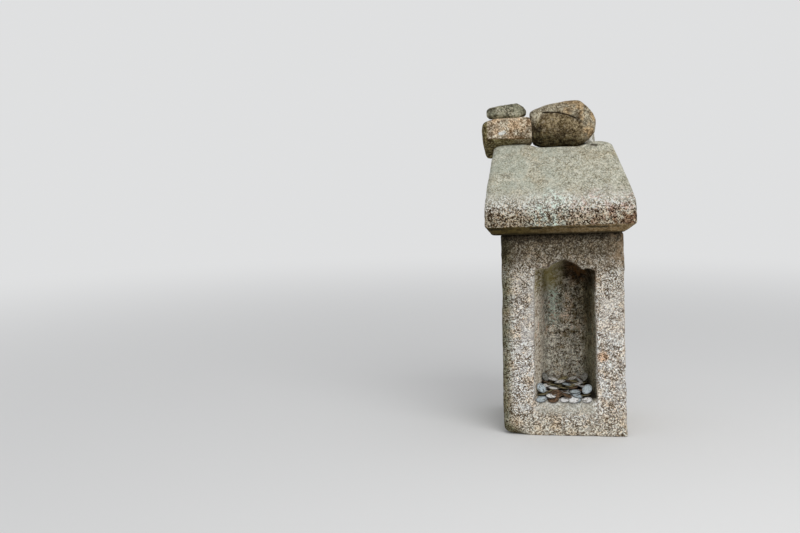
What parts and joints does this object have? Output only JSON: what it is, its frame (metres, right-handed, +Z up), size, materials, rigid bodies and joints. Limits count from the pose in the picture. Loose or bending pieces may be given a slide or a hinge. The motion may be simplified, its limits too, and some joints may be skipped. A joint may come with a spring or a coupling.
{
  "type": "wayside shrine",
  "caption": "Weathered granite wayside shrine with a hipped roof block, a cusped niche holding offered coins, and field stones laid along its ridge.",
  "frame": {"origin": "in the ground plane, under the middle of the body block's foot", "axes": "+Z up, -Y out of the niche towards the viewer, +X to the viewer's right"},
  "size_m": [0.3188, 0.3, 0.6953],
  "materials": {
    "granite": "rough, lichened",
    "field_stone": "rough, lichened",
    "white_metal": "worn, dull",
    "nickel": "worn, dull",
    "brass": "tarnished",
    "bronze": "tarnished"
  },
  "bodies": {
    "root": {"block_stone": "field_stone", "body_block": "granite", "boulder": "field_stone", "coin_1_1": "nickel", "coin_1_2": "bronze", "coin_1_3": "white_metal", "coin_1_4": "nickel", "coin_1_5": "white_metal", "coin_2_1": "brass", "coin_2_2": "white_metal", "coin_2_3": "brass", "coin_2_4": "white_metal", "coin_2_5": "brass", "coin_3_1": "white_metal", "coin_3_2": "brass", "coin_3_3": "white_metal", "coin_3_4": "brass", "coin_3_5": "white_metal", "coin_4_1": "bronze", "coin_4_2": "white_metal", "coin_4_3": "nickel", "coin_4_4": "bronze", "coin_5_1": "white_metal", "coin_5_2": "brass", "coin_5_3": "white_metal", "coin_5_4": "bronze", "coin_6_1": "brass", "coin_6_2": "nickel", "coin_6_3": "white_metal", "coin_6_4": "brass", "coin_7_1": "white_metal", "coin_7_2": "brass", "coin_7_3": "brass", "coin_7_4": "white_metal", "coin_leaning_back_left": "white_metal", "coin_leaning_back_right": "white_metal", "coin_leaning_left": "nickel", "coin_leaning_right": "nickel", "coin_loose_back": "brass", "coin_loose_left": "white_metal", "coin_loose_middle": "bronze", "coin_loose_right": "nickel", "flat_stone": "field_stone", "roof_block": "granite", "wedge_stone": "field_stone"}
  },
  "joints": []
}
